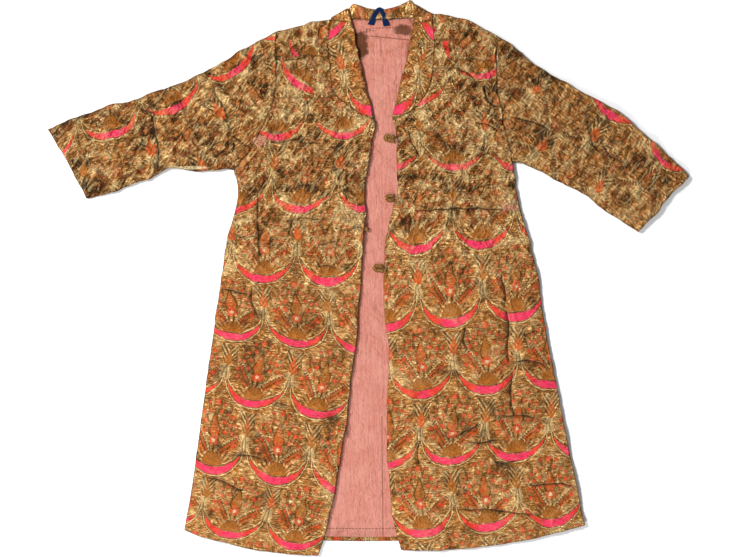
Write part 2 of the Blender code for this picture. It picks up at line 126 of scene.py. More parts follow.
# Places at the shoulders where the cloth lies turned: their bounds, and a crescent's lowest point and angle.
TURNED_PLACES = {
    "front_right": table(
        "west east south north x y angle",
        [
            (-200, -60, 464, 600, -141, 443, -35),
            (-200, -118, 378, 464, -155, 399, -35),
            (-118, -60, 378, 464, -92, 328, -6),
        ],
    ),
    "front_left": table(
        "west east south north x y angle",
        [
            (141, 290, 440, 600, 290, 490, -41),
            (141, 186, 440, 500, 159, 523, -110),
            (184, 290, 362, 456, 250, 419, 20),
        ],
    ),
}

# The creases that show, listed one by one, a trough where the height is below 0.
CREASES = table(
    "x y end_x end_y half_width height",
    [
        # right front
        (-172, 122, -160, 92, 9, -3.0), (-8, 104, -58, 124, 5, 1.5), (-8, 102, -64, 104, 4, -1.5),
        (-8, 99, -50, 84, 5, 1.4), (-286, 90, -252, 92, 5, -2.0), (-108, 74, -62, 73, 5, -2.0),
        (-115, 24, -66, 22, 5, -2.0), (-311, -29, -246, -30, 6, -2.0), (-247, -12, -236, -90, 6, -2.2),
        (-292, -368, -220, -380, 5, -2.0), (-342, -420, -250, -444, 5, -2.2),
        (-330, -431, -262, -452, 6, 1.6), (-232, 190, -234, 20, 4, -2.4), (-95, 128, -180, 120, 5, -1.8),
        (-60, 214, -40, 140, 7, 1.6), (-210, 290, -140, 284, 5, -1.8), (-238, 252, -196, 230, 5, 1.8),
        (-190, 262, -120, 238, 6, 1.8), (-150, 478, -96, 430, 6, 2.0), (-170, 500, -120, 500, 6, 1.8),
        (-184, 448, -130, 468, 6, -2.0), (-186, 410, -118, 396, 6, 2.0), (-240, 316, -150, 330, 6, 1.8),
        # left front
        (82, 134, 87, 94, 6, -2.6), (198, -96, 206, -154, 6, -2.4), (314, -114, 360, -116, 5, -2.0),
        (294, -176, 374, -178, 5, -2.0), (187, -336, 234, -296, 6, -2.0), (200, -342, 277, -343, 5, -2.2),
        (272, -286, 363, -296, 5, -2.0), (276, -300, 360, -312, 6, 1.6), (258, -384, 311, -385, 5, -2.0),
        (326, -430, 436, -438, 5, -2.2), (166, -486, 372, -494, 5, -2.0), (101, -338, 107, -396, 6, -2.0),
        (84, 316, 100, 250, 6, -2.4), (181, 438, 232, 404, 6, -2.4), (232, 404, 266, 356, 6, -2.6),
        (188, 446, 240, 412, 6, 2.2), (96, 144, 318, 142, 4, -2.6), (100, 160, 320, 160, 5, 2.4),
        (98, 136, 318, 134, 5, 2.2), (280, 14, 283, -60, 5, -2.6), (284, -56, 296, -186, 5, -3.0),
        (296, -186, 306, -300, 5, -2.2), (292, 10, 304, -150, 5, 2.2), (160, 500, 220, 470, 6, 2.0),
        (150, 300, 240, 270, 6, 1.8), (130, 236, 210, 212, 5, 1.8), (220, 330, 280, 300, 5, -2.0),
        (110, 20, 170, 34, 5, 1.6), (230, 150, 300, 190, 6, 1.8),
        # right sleeve
        (-458, 372, -440, 228, 6, -2.8), (-470, 368, -455, 230, 6, 2.4), (-490, 362, -444, 344, 6, -2.4),
        (-484, 294, -452, 264, 6, -2.2), (-450, 226, -434, 230, 6, -2.4), (-360, 400, -320, 300, 6, 2.0),
        (-330, 420, -296, 330, 5, -2.0), (-404, 380, -380, 300, 6, 1.8), (-556, 330, -540, 240, 6, 1.8),
        (-612, 320, -590, 220, 5, -1.6),
        # left sleeve
        (298, 344, 388, 302, 5, -2.4), (306, 366, 392, 330, 5, 2.0), (486, 282, 530, 236, 5, -2.4),
        (340, 440, 390, 380, 6, 2.0), (400, 400, 430, 300, 6, 1.8), (450, 350, 480, 260, 6, -1.8),
        (560, 300, 540, 180, 6, 1.6), (610, 260, 590, 160, 5, 1.4),
        # collar
        (-76, 500, -46, 492, 5, 1.2), (-76, 440, -30, 430, 5, -1.0), (-50, 380, -10, 400, 5, 1.0),
        (90, 440, 130, 452, 5, 1.2), (70, 380, 108, 372, 5, -1.0),
    ],
)
# How their lines bend: the sine's wave along them, its shift from one to the next, and its share of the width
BEND_WAVE = 5.3
BEND_PHASE = 1.9
BEND_REACH = 0.7

# The crumples, from the largest to the smallest
CRUMPLES = table(
    "wavelength height stretch phase", [(50, 2.6, 1.3, 3.1), (23, 2.7, 1.2, 17.7), (12, 1.7, 1.3, 41.3)]
)
# How far a crumple's place is pushed aside, and where the noises that go with it are read
CRUMPLE_WARP = Vector((0.7, -0.5, 0))
WARP_AT = Vector((5.2, 1.3, 0))
FOLD_AT = Vector((3.7, 9.1, 4.4))
# How the cloth wanders in plan: wavelengths and reaches
SWAYS = [(55, 3.4), (21, 2.0)]
SWAY_AT = Vector((7.7, 3.1, 2.9))
# How strong the crumples are below one height up the robe and above another
CALM_BELOW = -40
CALM_SHARE = 0.75
ROUGH_ABOVE = 190
ROUGH_SHARE = 1.35
# How far a crumpled surface is raised, to leave room for its hollows
CLOTH_LOFT = 1.4
# How fast painted shade darkens the cloth down into a trough and a painted highlight brightens it up a ridge,
# for each millimetre
TROUGH_PAINTED_SHADE = 0.34
RIDGE_PAINTED_HIGHLIGHT = 0.27
# How much painted shade darkens the crumpled upper part and the sleeves, and how much painted light brightens
# the collar
UPPER_PAINTED_SHADE = 0.18
SLEEVE_PAINTED_SHADE = 0.14
COLLAR_PAINTED_SHADE = -0.08
# How much deeper the creases are made than their table says
CREASE_DEPTH = 1.2
# How far aside of a crease its line of painted shade is measured
FOLD_REACH = 9.0
# Where painted shade darkens the cloth, and where painted light brightens it when the share is below 0
PAINTED_SHADE_PLACES = table(
    "x y reach share",
    [
        (-150, 250, 90, 0.24), (150, 260, 110, 0.24), (205, 430, 70, 0.22), (-125, 445, 40, -0.35),
        (-400, 330, 120, 0.34), (-240, 230, 45, 0.2), (-580, 270, 80, 0.24), (430, 350, 110, 0.22),
        (570, 240, 60, 0.06), (-250, -260, 260, 0.34), (-170, 20, 120, 0.16), (-466, 284, 22, 0.7),
        (-470, 352, 18, 0.5), (-236, 312, 20, 0.5), (-448, 212, 18, 0.6), (-500, 236, 14, 0.6),
        (-205, 350, 14, 0.4), (-186, 420, 12, 0.4), (260, -280, 260, 0.2), (210, 40, 110, 0.1),
    ],
)

# The feet of the hanging ribbon: where they are across, how far up they begin to spread, and how much.
RIBBON_FEET = (5, 36)
RIBBON_FOOT_TOP = 546
RIBBON_FOOT_REACH = 12
RIBBON_FOOT_SPREAD = 0.5


class RobeCloth(bpy.types.PropertyGroup):
    """Sizes of the cloth."""

    crumple: bpy.props.FloatProperty(
        name="Crumple", description="How strongly the brocade is crumpled", default=1.0, min=0.0, max=2.0
    )
    weave_width: bpy.props.FloatProperty(
        name="Weft float", description="Length of one float of metal weft", default=0.013, unit="LENGTH"
    )


def colour_property(name, description, default):
    return bpy.props.FloatVectorProperty(
        name=name, description=description, default=default, subtype="COLOR", size=3, min=0.0, max=1.0
    )


class RobeColours(bpy.types.PropertyGroup):
    """Colours of the cloth."""

    gold: colour_property("Gold weft", "The metal ground where it is clean", (0.522, 0.212, 0.044))
    # The pale metal of the woven pattern, and also the colour of painted highlights and glints
    pale_gold: colour_property("Pale gold", "The metal ground where it is worn bright", (0.92, 0.665, 0.30))
    dull_gold: colour_property("Dull gold", "The metal ground where it is dark", (0.15, 0.042, 0.004))
    # Painted shade in the brocade's creases and troughs, and the dark along its pieces' edges
    shade_and_edge_dark: colour_property("Soil", "The dark in the deepest creases", (0.035, 0.014, 0.004))
    pink: colour_property("Pink", "The middle of the crescents", (0.86, 0.024, 0.11))
    red: colour_property("Red", "The tips of the crescents", (0.74, 0.036, 0.022))
    poppy: colour_property("Poppy", "The small flowers", (0.69, 0.05, 0.014))
    rust: colour_property("Rust", "The carnations and buds", (0.62, 0.088, 0.007))
    ochre: colour_property("Ochre", "The mounds that the sprays grow from", (0.40, 0.118, 0.009))
    leaf: colour_property("Leaf", "The leaves and outlines", (0.115, 0.040, 0.003))
    cream: colour_property("Cream", "The eyes of the flowers", (0.78, 0.62, 0.36))
    bare: colour_property("Bare warp", "The brocade where its metal is worn away", (0.60, 0.25, 0.15))
    lining: colour_property("Lining", "The silk lining", (0.53, 0.193, 0.145))
    lining_light: colour_property("Light lining", "The silk lining where it is faded", (0.63, 0.285, 0.222))
    # Also painted shade along the lining's creases
    lining_stain_and_shade: colour_property("Lining stain", "The faint stains on the lining", (0.40, 0.13, 0.075))
    lining_soil: colour_property("Lining soil", "The brown stains at the neck", (0.085, 0.026, 0.007))
    ribbon: colour_property("Ribbon", "The hanging ribbon", (0.001, 0.011, 0.055))
    # A painted highlight on the crests of the ribs
    ribbon_highlight: colour_property("Light ribbon", "The ribs of the ribbon", (0.006, 0.035, 0.12))
    floor: colour_property("Floor", "The surface under the robe", (0.93, 0.93, 0.93))
    floor_shade: colour_property("Floor shade", "The faint mottle of that surface", (0.90, 0.90, 0.90))


class RobeStage(bpy.types.PropertyGroup):
    """The camera and lights."""

    camera_height: bpy.props.FloatProperty(
        name="Camera height",
        description="How far above the surface the camera is",
        default=4.317,
        unit="LENGTH",
    )
    lens: bpy.props.FloatProperty(name="Lens", description="Focal length in millimetres", default=100.0)
    key_light: bpy.props.FloatProperty(
        name="Key light", description="Power of the large light", default=205.0
    )
    fill_light: bpy.props.FloatProperty(
        name="Fill light", description="Power of the small light", default=72.0
    )
    sky: bpy.props.FloatProperty(name="Sky", description="Strength of the even light all round", default=0.34)


def cloth():
    return bpy.context.scene.robe_cloth


def colours():
    return bpy.context.scene.robe_colours


def operation(name):
    """A method that works out one operation of the maths node."""
    return lambda amount, *others: amount.recipe.maths(name, amount, *others)


class Amount:
    """A number at each point of a surface, as an output of a material's node."""

    def __init__(self, recipe, socket):
        self.recipe = recipe
        self.socket = socket

    __add__ = operation("ADD")
    __radd__ = operation("ADD")
    __sub__ = operation("SUBTRACT")
    __mul__ = operation("MULTIPLY")
    __rmul__ = operation("MULTIPLY")
    __truediv__ = operation("DIVIDE")
    __pow__ = operation("POWER")
    __lt__ = operation("LESS_THAN")
    __gt__ = operation("GREATER_THAN")
    size = operation("ABSOLUTE")
    root = operation("SQRT")
    sine = operation("SINE")
    angle_from = operation("ARCTAN2")
    at_least = operation("MAXIMUM")
    at_most = operation("MINIMUM")
    # The part after the whole number
    share_of_turn = operation("FRACT")

    def __rsub__(self, other):
        return self.recipe.maths("SUBTRACT", other, self)

    def between(self, low, high):
        """0 up to low, 1 from high on, and a soft slope between."""
        slope = {"interpolation_type": "SMOOTHSTEP"}
        made = self.recipe.node("ShaderNodeMapRange", slope, Value=self, From_Min=low, From_Max=high)
        return Amount(self.recipe, made.outputs[0])

    def fading(self, low, high):
        """1 up to low, 0 from high on, and a soft slope between."""
        return 1 - self.between(low, high)


def greatest(amounts):
    return functools.reduce(Amount.at_least, amounts)


def least(amounts):
    return functools.reduce(Amount.at_most, amounts)


class Recipe:
    """A material, built node by node."""

    def __init__(self, name):
        self.material = bpy.data.materials.new(name)
        self.material.use_nodes = True
        self.tree = self.material.node_tree
        self.shader = self.tree.nodes["Principled BSDF"]

    def node(self, kind, settings=(), **values):
        """Adds a node: its settings first, then the values or links of its sockets by name."""
        made = self.tree.nodes.new(kind)
        for name, value in dict(settings).items():
            setattr(made, name, value)
        for name, value in values.items():
            self.feed(made.inputs[name.replace("_", " ")], value)
        return made

    def feed(self, socket, value):
        if isinstance(value, Amount):
            value = value.socket
        if isinstance(value, bpy.types.NodeSocket):
            self.tree.links.new(value, socket)
        elif hasattr(value, "__len__") and socket.type == "RGBA":
            socket.default_value = (*value[:3], 1.0)
        else:
            socket.default_value = value

    def maths(self, operation, *values):
        made = self.node("ShaderNodeMath", {"operation": operation})
        for socket, value in zip(made.inputs, values):
            self.feed(socket, value)
        return Amount(self, made.outputs[0])

    def place(self, attribute=None):
        """A point's place in millimetres as three amounts, or the three that an attribute holds."""
        if attribute:
            source = self.node("ShaderNodeAttribute", {"attribute_name": attribute}).outputs["Vector"]
        else:
            source = self.node("ShaderNodeTexCoord").outputs["Object"]
        parts = self.node("ShaderNodeSeparateXYZ", Vector=source)
        return [Amount(self, parts.outputs[axis]) * (1 / MM) for axis in "XYZ"]

    def noise(self, place, scale=1.0, detail=2.0, roughness=0.5, distortion=0.0):
        """Soft noise about 0.5. Place is three amounts, and scale its cycles in each millimetre of them."""
        made = self.node(
            "ShaderNodeTexNoise",
            {"noise_dimensions": "3D"},
            Vector=self.node("ShaderNodeCombineXYZ", X=place[0], Y=place[1], Z=place[2]).outputs[0],
            Scale=scale,
            Detail=detail,
            Roughness=roughness,
            Distortion=distortion,
        )
        return Amount(self, made.outputs[0])

    def mix(self, share, first, second):
        """One colour turning into another."""
        made = self.node("ShaderNodeMix", {"data_type": "RGBA"})
        for name, value in (("Factor_Float", share), ("A_Color", first), ("B_Color", second)):
            socket = next(s for s in made.inputs if s.identifier == name)
            self.feed(socket, value)
        return next(s for s in made.outputs if s.identifier == "Result_Color")

    def layers(self, colour, *rows):
        """Lays colours over a first one. Each row is the share that a colour covers, and the colour."""
        for share, cover in rows:
            colour = self.mix(share, colour, cover)
        return colour

    def finish(self, colour, roughness, metallic=0.0, height=None, relief=0.001, **constants):
        """Links what varies to the shader, and sets what doesn't on its own sockets."""
        self.feed(self.shader.inputs["Base Color"], colour)
        self.feed(self.shader.inputs["Roughness"], roughness)
        self.feed(self.shader.inputs["Metallic"], metallic)
        if height is not None:
            bump = self.node("ShaderNodeBump", Strength=1.0, Distance=relief, Height=height)
            self.feed(self.shader.inputs["Normal"], bump.outputs["Normal"])
        for name, value in constants.items():
            self.feed(self.shader.inputs[name.replace("_", " ")], value)
        return self.material


def long_ellipse(x, y, centre, half_length, half_width, lean=0):
    """How far out a point is from an ellipse that leans from upright: 1 on its edge."""
    sine, cosine = math.sin(math.radians(lean)), math.cos(math.radians(lean))
    away_x, away_y = x - centre[0], y - centre[1]
    along = (away_x * sine + away_y * cosine) / half_length
    across = (away_x * cosine - away_y * sine) / half_width
    return (along * along + across * across).root()


def distance(x, y, centre):
    away_x, away_y = x - centre[0], y - centre[1]
    return (away_x * away_x + away_y * away_y).root()


def ring(out, radius, half_width):
    """A line that runs round at this radius."""
    return (out - radius).size() < half_width


def petalled(x, y, up):
    """How far out a point is from the middle of a flower with six petals."""
    return distance(x, y, (0, up)) + (x.angle_from(y - up) * 6).sine() * 1.2


# The parts of the woven pattern are placed in millimetres from the lowest point of a crescent.
# The small flowers of the spray above it: how far aside and up, and their radius
SMALL_FLOWERS = [
    (22, 84, 4.6), (42, 62, 4.6), (36, 84, 3.8), (46, 80, 3.4), (33, 99, 4.4), (44, 100, 3.6),
    (20, 104, 4.4), (12, 124, 4.2), (26, 119, 4.0), (37, 114, 3.4), (17, 139, 3.6), (8, 84, 3.0),
]
# Its two leaves, their ribs and the red beside them: centre, half length, half width and lean
LEAVES = [((31, 60), 30, 5.6, 52), ((-25, 66), 31, 5.6, -31)]
LEAF_RIBS = [((31, 60), 27, 2.0, 52), ((-25, 66), 28, 2.0, -31)]
LEAF_GLOWS = [((35, 56), 25, 6.0, 52), ((-31, 63), 26, 6.0, -31)]
# The circle that the crescent is cut out by, and the bowl that it lies in
CUT_CENTRE = (0, 90)
CUT_RADIUS = 73.4
BOWL_RADIUS = 62
BOWL_UP = 63
BOWL_TOP = 80
# How much of a crescent's width sinks into the crumples of the upper part
CRESCENT_LOSS = 3.0
# How far up the middles of the rays, the stems, the rosette and the topmost flower are
RAYS_UP = 8
STEMS_UP = 24
ROSETTE_UP = 67
TOP_FLOWER_UP = 141
# The carnation below: how far up its foot is
CARNATION_FOOT = -56


def crescent_masks(x, y, thinner):
    """The crescent and the lines that follow it."""
    upright = (y - BOWL_UP).at_most(0) + (y - BOWL_TOP).at_least(0) * 0.6
    bowl = (x * x + upright * upright).root()
    cut = distance(x, y, CUT_CENTRE)
    beside = (y < 112) * (y > -4) * (bowl < 68.3)
    lines = ring(bowl, 63.2, 0.8).at_least(ring(bowl, 66.9, 0.7)) * beside
    bright_lines = ring(bowl, 65, 1.1) * beside
    return {
        "crescent": (bowl < BOWL_RADIUS) * (cut > thinner + CUT_RADIUS) * (y < 52),
        "lines": lines.at_least(ring(cut, 72.4, 0.9) * (y < 56)),
        "bright_lines": bright_lines.at_least(ring(cut, 70.2, 1.1) * (y < 58)),
        "inside": (bowl < BOWL_RADIUS) * (y > 24),
    }


def mound_masks(x, y):
    """The mound on the crescent and the rays above it."""
    out = long_ellipse(x, y, (0, 21), 24, 21)
    angle = x.angle_from(y - RAYS_UP)
    away = distance(x, y, (0, RAYS_UP))
    wave = (angle * 29).sine()
    rays = (out > 1) * (away < 54 - angle.size() * 9) * (angle.size() < 1.4)
    mound = (out < 1) * (distance(x, y, CUT_CENTRE) < 71)
    lines = (away > 20) * (wave > 0.2)
    return {
        "rays": rays * (wave > 0.25),
        "ray_gaps": rays * (wave < 0.1),
        "ray_ends": rays * away.between(28, 46),
        "mound": mound,
        "mound_shade": mound * y.between(28, 48).at_least(lines),
    }


def leaf_masks(x, y):
    """The two toothed leaves."""

    def least_out(ellipses):
        return least([long_ellipse(x, y, *ellipse) for ellipse in ellipses])

    out = least_out(LEAVES)
    leaf = (out + ((y + x.size()) * 0.8).sine() * 0.28) < 1
    glow = (least_out(LEAF_GLOWS) < 1) * (1 - leaf)
    return {
        "leaf": leaf,
        "leaf_rib": least_out(LEAF_RIBS) < 1,
        "leaf_glow": glow,
        "leaf_light": (out < 1.5) * (1 - leaf) * (1 - glow),
    }


def flower_masks(x, y):
    """The bud, the rosette, the small flowers and their stems."""
    aside = x.size()
    rise = y - 88
    bud_out = ((aside / 10.5) ** 2 + (rise.at_most(0) / 14) ** 2).root() + rise.at_least(0) / 30
    rosette_out = petalled(x, y, ROSETTE_UP)
    small_out = [distance(aside, y, (away, up)) / radius for away, up, radius in SMALL_FLOWERS]
    small_out = least([*small_out, petalled(x, y, TOP_FLOWER_UP) / 6.5])
    small_out = small_out + (x * 1.1).sine() * (y * 1.1).sine() * 0.22
    angle = x.angle_from(y - STEMS_UP)
    away = distance(x, y, (0, STEMS_UP))
    stems = (away < 122) * (away > 34) * (angle.size() < 0.6)
    wave = (angle * 30 + (away * 0.16).sine() * 0.9).sine()
    return {
        "bud": bud_out < 1,
        "bud_lines": (bud_out < 0.9) * ((x * 2.1).sine() > 0.35),
        "bud_rim": (bud_out < 1.3) * (bud_out > 1),
        "rosette": rosette_out < 10.2,
        "eye": rosette_out < 3.7,
        "small": small_out < 1,
        "small_rim": (small_out < 1.4) * (small_out > 1),
        "stems": stems * (wave > 0.55),
        "stem_light": stems * (wave > 0.1) * (wave < 0.4),
    }


def carnation_masks(x, y):
    """The carnation below the crescent: its fan of petals, its calyx and its sheaf of stalks."""
    aside = x.size()
    fan = (aside < 8.5 + (y - CARNATION_FOOT) * 0.22) * (y < aside * 0.3 - 13) * (y > -58)
    calyx_out = long_ellipse(x, y, (0, -44), 15, 9.5) + (x * 0.9).sine().size() * 0.10
    spine_out = aside / 3.2 + (y + 34).size() / 22
    spread = 4 + (CARNATION_FOOT - y).at_least(0) * 0.19
    below = y < CARNATION_FOOT
    return {
        "fan": fan * (((y - aside * 1.5) * 0.52).sine() > -0.1),
        "fan_light": fan,
        "calyx": (calyx_out < 1).at_least(spine_out < 1),
        "sheaf": (aside < spread) * below * (y > -104) * ((x * 7.0 / spread).sine() > 0.1),
        "sheaf_light": (aside < spread + 2) * below * (y > -110),
    }


def woven_pattern(u, v, thinner):
    """The masks of the whole pattern, its rows set half a repeat aside of each other."""
    found = []
    for shift in (0.0, 0.5):
        x = ((u / REPEAT_ACROSS + (0.5 + shift)).share_of_turn() - 0.5) * REPEAT_ACROSS
        y = ((v / (2 * REPEAT_UP) + (0.3 + shift)).share_of_turn() - 0.3) * (2 * REPEAT_UP)
        masks = crescent_masks(x, y, thinner) | mound_masks(x, y) | leaf_masks(x, y)
        masks |= flower_masks(x, y) | carnation_masks(x, y)
        found.append((masks, (x.size() / 56).at_most(1)))
    (first, first_tips), (second, second_tips) = found
    tips = first_tips + second["crescent"] * (second_tips - first_tips)
    return {part: first[part].at_least(second[part]) for part in first}, tips


# The colours of the woven parts, laid over each other from the ground up: the part, the share that it covers,
# how much of that share wear takes, whether the part fades with the crumples, and its paint.
WOVEN_LAYERS = table(
    "part share wear fades paint",
    [
        ("stems", 0.55, 0, 0, "leaf"), ("stem_light", 0.3, 0, 1, "pale_gold"),
        ("bright_lines", 0.55, 0, 0, "pale_gold"), ("lines", 0.7, 0, 0, "leaf"),
        ("sheaf_light", 0.45, 0, 0, "pale_gold"), ("sheaf", 0.6, 0, 0, "leaf"),
        ("ray_gaps", 0.12, 0, 0, "pale_gold"), ("rays", 0.95, 0, 0, "ray"),
        ("fan_light", 0.3, 0, 0, "pale_gold"), ("fan", 0.9, 0, 0, "leaf"), ("calyx", 0.95, 0.3, 0, "flame"),
        ("leaf_light", 0.4, 0, 0, "pale_gold"), ("leaf_glow", 0.7, 0, 1, "rust"),
        ("leaf", 0.85, 0, 0, "leaf"), ("leaf_rib", 0.8, 0, 1, "rust"), ("small_rim", 0.4, 0, 0, "leaf"),
        ("small", 0.95, 0.35, 1, "poppy"), ("bud_rim", 0.8, 0, 0, "leaf"), ("bud", 1, 0.3, 1, "flame"),
        ("bud_lines", 0.5, 0, 1, "leaf"), ("rosette", 0.92, 0.35, 1, "poppy"), ("eye", 0.85, 0, 1, "cream"),
        ("mound", 0.96, 0, 0, "ochre"), ("mound_shade", 0.45, 0, 0, "leaf"),
        ("crescent", 0.98, 0.1, 0, "silk"),
    ],
)

# Places where the brocade is worn down to its warp: how far across and up, their half width and half height,
# and how much of the pale padding shows through.
BARE_PLACES = table(
    "x y half_width half_height pale",
    [
        (-227, 287, 17, 12, 0.1),
        (269, 444, 2, 30, 0.7),
        (296, 148, 22, 8, 0.0),
        (-46, -330, 3, 34, 0.2),
        (-382, 231, 50, 4, 1.0),
    ],
)


def patch_out(across, up, place):
    """How far out a point is from a place with a half width and a half height: 1 on its edge."""
    centre = (place.x / place.half_width, place.y / place.half_height)
    return distance(across / place.half_width, up / place.half_height, centre)


def brocade(name, seed, crumpled, faded=0.0):
    """Gold brocade: metal weft for the ground, silk for the woven flowers, crumpled and worn."""
    recipe = Recipe(name)
    noise_at = recipe.noise
    paint = colours()
    u, v, painted_shade_and_highlight = recipe.place(MAP_NAME)
    fold_away, fold_depth, rim = recipe.place(FOLD_NAME)
    across, up, _ = recipe.place()
    here = (across, up, seed)
    u = u + (noise_at(here, 0.11) - 0.5) * 5
    v = v + (noise_at((up, across, seed + 9), 0.1) - 0.5) * 6
    rough_share = (up.between(-120, 230) * 0.8 + 0.2) * crumpled
    masks, tips = woven_pattern(u, v, rough_share * CRESCENT_LOSS)

    # The metal ground, with painted glints in its weft
    float_length = cloth().weave_width * (1 / MM)
    dashes = noise_at((u / float_length, v / 1.5, seed), roughness=0.55)
    streaks = noise_at((u / (float_length * 2.6), v / 3.6, seed + 3), roughness=0.6)
    patches = noise_at(here, 0.011, detail=3, roughness=0.6)
    blotches = noise_at(here, 0.05, detail=3, roughness=0.65)
    weft = dashes * 0.62 + streaks * 0.38
    bright = (weft + masks["inside"] * 0.02).between(0.41, 0.57)
    glint = (weft + (blotches - 0.5) * 0.35).between(0.53, 0.64)
    tarnish = (patches * 0.6 + blotches * 0.4).between(0.49, 0.64)
    colour = recipe.layers(
        paint.dull_gold, (bright, paint.gold), (glint, paint.pale_gold), (tarnish * 0.26, paint.ochre)
    )

    # The woven parts
    worn = (blotches + dashes * 0.4).between(0.58, 0.72)
    clear = (1 - rough_share * 0.65) * (1 - faded)
    redness = (tips + (patches - 0.5) * 2.2 + rough_share * 0.3).between(0.40, 0.90)
    mixed = {
        "flame": recipe.mix(noise_at(here, 0.016, detail=1).between(0.44, 0.54), paint.ochre, paint.rust),
        "ray": recipe.mix(masks["ray_ends"], paint.ochre, paint.leaf),
        "silk": recipe.mix(redness, paint.pink, paint.red),
    }
    for layer in WOVEN_LAYERS:
        share = layer.share - worn * layer.wear if layer.wear else layer.share
        covered = masks[layer.part] * share
        if layer.fades:
            covered = covered * clear
        cover = mixed[layer.paint] if layer.paint in mixed else getattr(paint, layer.paint)
        colour = recipe.mix(covered, colour, cover)
    raised = [masks[part] for part in ("crescent", "mound", "bud", "calyx", "rosette", "small")]
    flowers = greatest([*raised, masks["leaf"] * 0.6])
    plain = 1 - flowers * 0.7
    unsilked = 1 - masks["crescent"] * 0.75

    # Folds, creases, fine crumples and their small flat facets, with their painted shade and painted
    # highlights
    sunk = fold_depth.at_least(0).at_most(1)
    fold_shade_line = fold_away.size().fading(0.5, 2.0) * sunk
    fold_highlight_line = (fold_away - 3).size().fading(0.3, 2.0) * sunk
    fold_shade = fold_away.size().fading(1.0, 8.0) * sunk
    bends = noise_at(here, 0.038, distortion=0.9)
    kinks = noise_at((across, up, seed + 4), 0.085, distortion=0.7)
    bend_line, kink_line = (bends - 0.5).size(), (kinks - 0.5).size()
    kink_shade_line = bend_line.fading(0.004, 0.024).at_least(kink_line.fading(0.004, 0.028))
    kink_shade_line = kink_shade_line * (blotches.between(0.47, 0.56) * rough_share)
    lengthways, crossways = (across * 0.6 + up * 0.8) / 34, (across * 0.8 - up * 0.6) / 9.5
    facets = noise_at((lengthways, crossways, seed + 6), roughness=0.55, distortion=1.0)
    facet_shade = (0 - facets).between(-0.46, -0.39) * rough_share
    facet_highlight = facets.between(0.54, 0.59) * rough_share
    colour = recipe.layers(
        colour,
        # Painted shade in the crumples' troughs
        (painted_shade_and_highlight.at_least(0).at_most(1) * plain * 0.9, paint.shade_and_edge_dark),
        # Painted highlights on the crumples' ridges
        ((0 - painted_shade_and_highlight).at_least(0).at_most(1) * (0.3 + bright * 0.45) * plain, paint.pale_gold),
        # Painted shade and painted highlights on the crumples' facets
        (facet_shade * unsilked * 0.31, paint.shade_and_edge_dark),
        (facet_highlight * plain * 0.36, paint.pale_gold),
        # Painted shade along fine crease lines
        (kink_shade_line * unsilked * 0.46, paint.shade_and_edge_dark),
        # Painted shade around the table's creases, a painted highlight beside them and painted shade in their
        # trough
        (fold_shade * 0.34, paint.shade_and_edge_dark),
        (fold_highlight_line * 0.16, paint.pale_gold),
        (fold_shade_line * 0.8, paint.shade_and_edge_dark),
    )
    for place in BARE_PLACES:
        inside = (patch_out(across, up, place) + (blotches - 0.5) * 1.4).fading(0.75, 1.1)
        colour = recipe.mix(inside * 0.8, colour, recipe.mix(place.pale, paint.bare, paint.cream))
    # The cloth darkens near its piece's edges.
    colour = recipe.mix((rim + (blotches - 0.5) * 2.5).fading(0.6, 2.0) * 0.5, colour, paint.shade_and_edge_dark)

    metal = (1 - flowers * 0.85) * (0.3 + bright * 0.3)
    rough = 0.36 + flowers * 0.18 + (1 - bright) * 0.14
    crinkle = noise_at((u / 12, v / 4.2, seed + 5), detail=3, roughness=0.6)
    crumples = bend_line * 2.4 + kink_line * 1.1 + facets * 1.3
    height = dashes * 0.25 + crinkle * (0.5 + rough_share * 0.2) + crumples * rough_share * 0.75
    return recipe.finish(colour, rough, metal, height + flowers * 0.1, relief=0.009, Specular_IOR_Level=0.2)


# Soiled places of the lining: how far across and up, their half width and half height, and how strong.
LINING_STAINS = table(
    "x y half_width half_height share",
    [
        (-20, 488, 20, 32, 1),
        (72, 521, 21, 12, 0.9),
        (84, 470, 7, 30, 0.4),
        (-44, -318, 6, 20, 0.5),
        (12, -60, 5, 16, 0.2),
    ],
)
# How far off the lining's edge its stitches run
STITCHES_IN = 17


